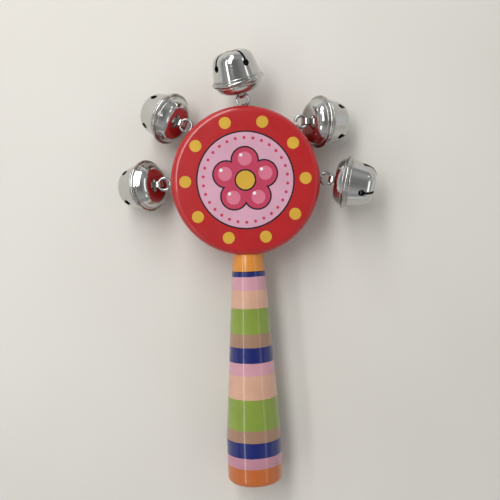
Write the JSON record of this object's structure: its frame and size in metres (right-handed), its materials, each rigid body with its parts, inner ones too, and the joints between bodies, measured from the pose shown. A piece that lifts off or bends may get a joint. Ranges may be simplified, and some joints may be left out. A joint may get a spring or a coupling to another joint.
{
  "type": "jingle bell stick rattle",
  "caption": "Round lacquered wooden disc on a banded turned handle, with jingle bells hung in screw eyes on its rim, shaken to ring.",
  "frame": {"origin": "centre of the flat face at the handle's butt end", "axes": "+Y along the handle to the disc, +Z out of the disc's decorated face, +X to the right"},
  "size_m": [0.1029, 0.1709, 0.0265],
  "materials": {
    "red_lacquer": "glossy red lacquer on turned wood",
    "painted_wood": "glossy painted bands on turned wood",
    "bell_nickel": "bright nickel plate on stamped sheet",
    "eye_steel": "zinc plated wire",
    "ball_steel": "plain steel ball"
  },
  "bodies": {
    "rattle_body": {"head_disc": "red_lacquer", "handle": "painted_wood", "screw_eye_right": "eye_steel", "screw_eye_upper_right": "eye_steel", "screw_eye_top": "eye_steel", "screw_eye_upper_left": "eye_steel", "screw_eye_left": "eye_steel"},
    "bell_right": {"slotted_cup_right": "bell_nickel", "loop_cup_right": "bell_nickel"},
    "ball_right": {"pellet_right": "ball_steel"},
    "bell_upper_right": {"slotted_cup_upper_right": "bell_nickel", "loop_cup_upper_right": "bell_nickel"},
    "ball_upper_right": {"pellet_upper_right": "ball_steel"},
    "bell_top": {"slotted_cup_top": "bell_nickel", "loop_cup_top": "bell_nickel"},
    "ball_top": {"pellet_top": "ball_steel"},
    "bell_upper_left": {"slotted_cup_upper_left": "bell_nickel", "loop_cup_upper_left": "bell_nickel"},
    "ball_upper_left": {"pellet_upper_left": "ball_steel"},
    "bell_left": {"slotted_cup_left": "bell_nickel", "loop_cup_left": "bell_nickel"},
    "ball_left": {"pellet_left": "ball_steel"}
  },
  "joints": [
    {"name": "bell_swing_right", "type": "hinge", "parent": "rattle_body", "child": "bell_right", "pos_m": [0.03437, 0.11882, 0], "axis": [-0.2079, -0.9781, 0], "range_deg": [-60, 44]},
    {"name": "ball_roll_right", "type": "hinge", "parent": "bell_right", "child": "ball_right", "pos_m": [0.0422, 0.11715, 0.00112], "axis": [0.9686, -0.2059, 0.1392], "continuous": true},
    {"name": "bell_swing_upper_right", "type": "hinge", "parent": "rattle_body", "child": "bell_upper_right", "pos_m": [0.02502, 0.14204, 0], "axis": [0.0175, -0.9998, 0], "range_deg": [-5, 61]},
    {"name": "ball_roll_upper_right", "type": "hinge", "parent": "bell_upper_right", "child": "ball_upper_right", "pos_m": [0.03215, 0.14216, -0.00379], "axis": [0.8828, 0.0154, -0.4695], "continuous": true},
    {"name": "bell_swing_top", "type": "hinge", "parent": "rattle_body", "child": "bell_top", "pos_m": [-0.00052, 0.15367, 0], "axis": [0.9744, 0.225, 0], "range_deg": [-71, 33]},
    {"name": "ball_roll_top", "type": "hinge", "parent": "bell_top", "child": "ball_top", "pos_m": [-0.00224, 0.1611, 0.00263], "axis": [-0.2127, 0.9213, 0.3256], "continuous": true},
    {"name": "bell_swing_upper_left", "type": "hinge", "parent": "rattle_body", "child": "bell_upper_left", "pos_m": [-0.02477, 0.14305, 0], "axis": [0.454, 0.891, 0], "range_deg": [-22, 82]},
    {"name": "ball_roll_upper_left", "type": "hinge", "parent": "bell_upper_left", "child": "ball_upper_left", "pos_m": [-0.031, 0.14623, -0.00404], "axis": [-0.7716, 0.3932, -0.5], "continuous": true},
    {"name": "bell_swing_left", "type": "hinge", "parent": "rattle_body", "child": "bell_left", "pos_m": [-0.03442, 0.11918, 0], "axis": [-0.0523, 0.9986, 0], "range_deg": [-18, 86]},
    {"name": "ball_roll_left", "type": "hinge", "parent": "bell_left", "child": "ball_left", "pos_m": [-0.04111, 0.11883, -0.00452], "axis": [-0.8279, -0.0434, -0.5592], "continuous": true}
  ]
}
